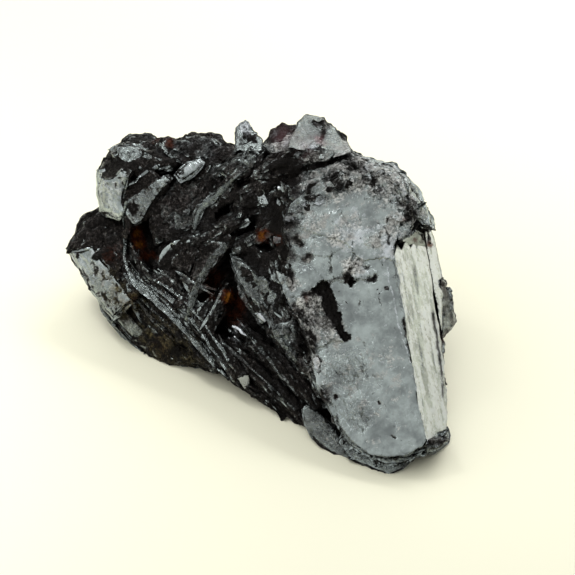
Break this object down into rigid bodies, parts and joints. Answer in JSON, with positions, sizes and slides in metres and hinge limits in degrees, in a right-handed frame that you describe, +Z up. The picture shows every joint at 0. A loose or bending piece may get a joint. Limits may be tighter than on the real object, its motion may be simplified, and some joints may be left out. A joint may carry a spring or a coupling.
{
  "type": "hematite specimen",
  "caption": "Lamellar hematite hand specimen: dark ragged sheets stacked like a fanned book beside a smooth grey metallic block, resting on its flat foot.",
  "frame": {"origin": "centre of the bounding box, on the surface the specimen rests on", "axes": "+X to the right as seen from the smooth block's front, +Y away from the viewer, +Z up"},
  "size_m": [0.0392, 0.0396, 0.0202],
  "materials": {
    "hematite": "dark grey metallic sheets, polished on the block and rough and rust-stained between the leaves"
  },
  "bodies": {
    "root": {"hematite": "hematite"}
  },
  "joints": []
}
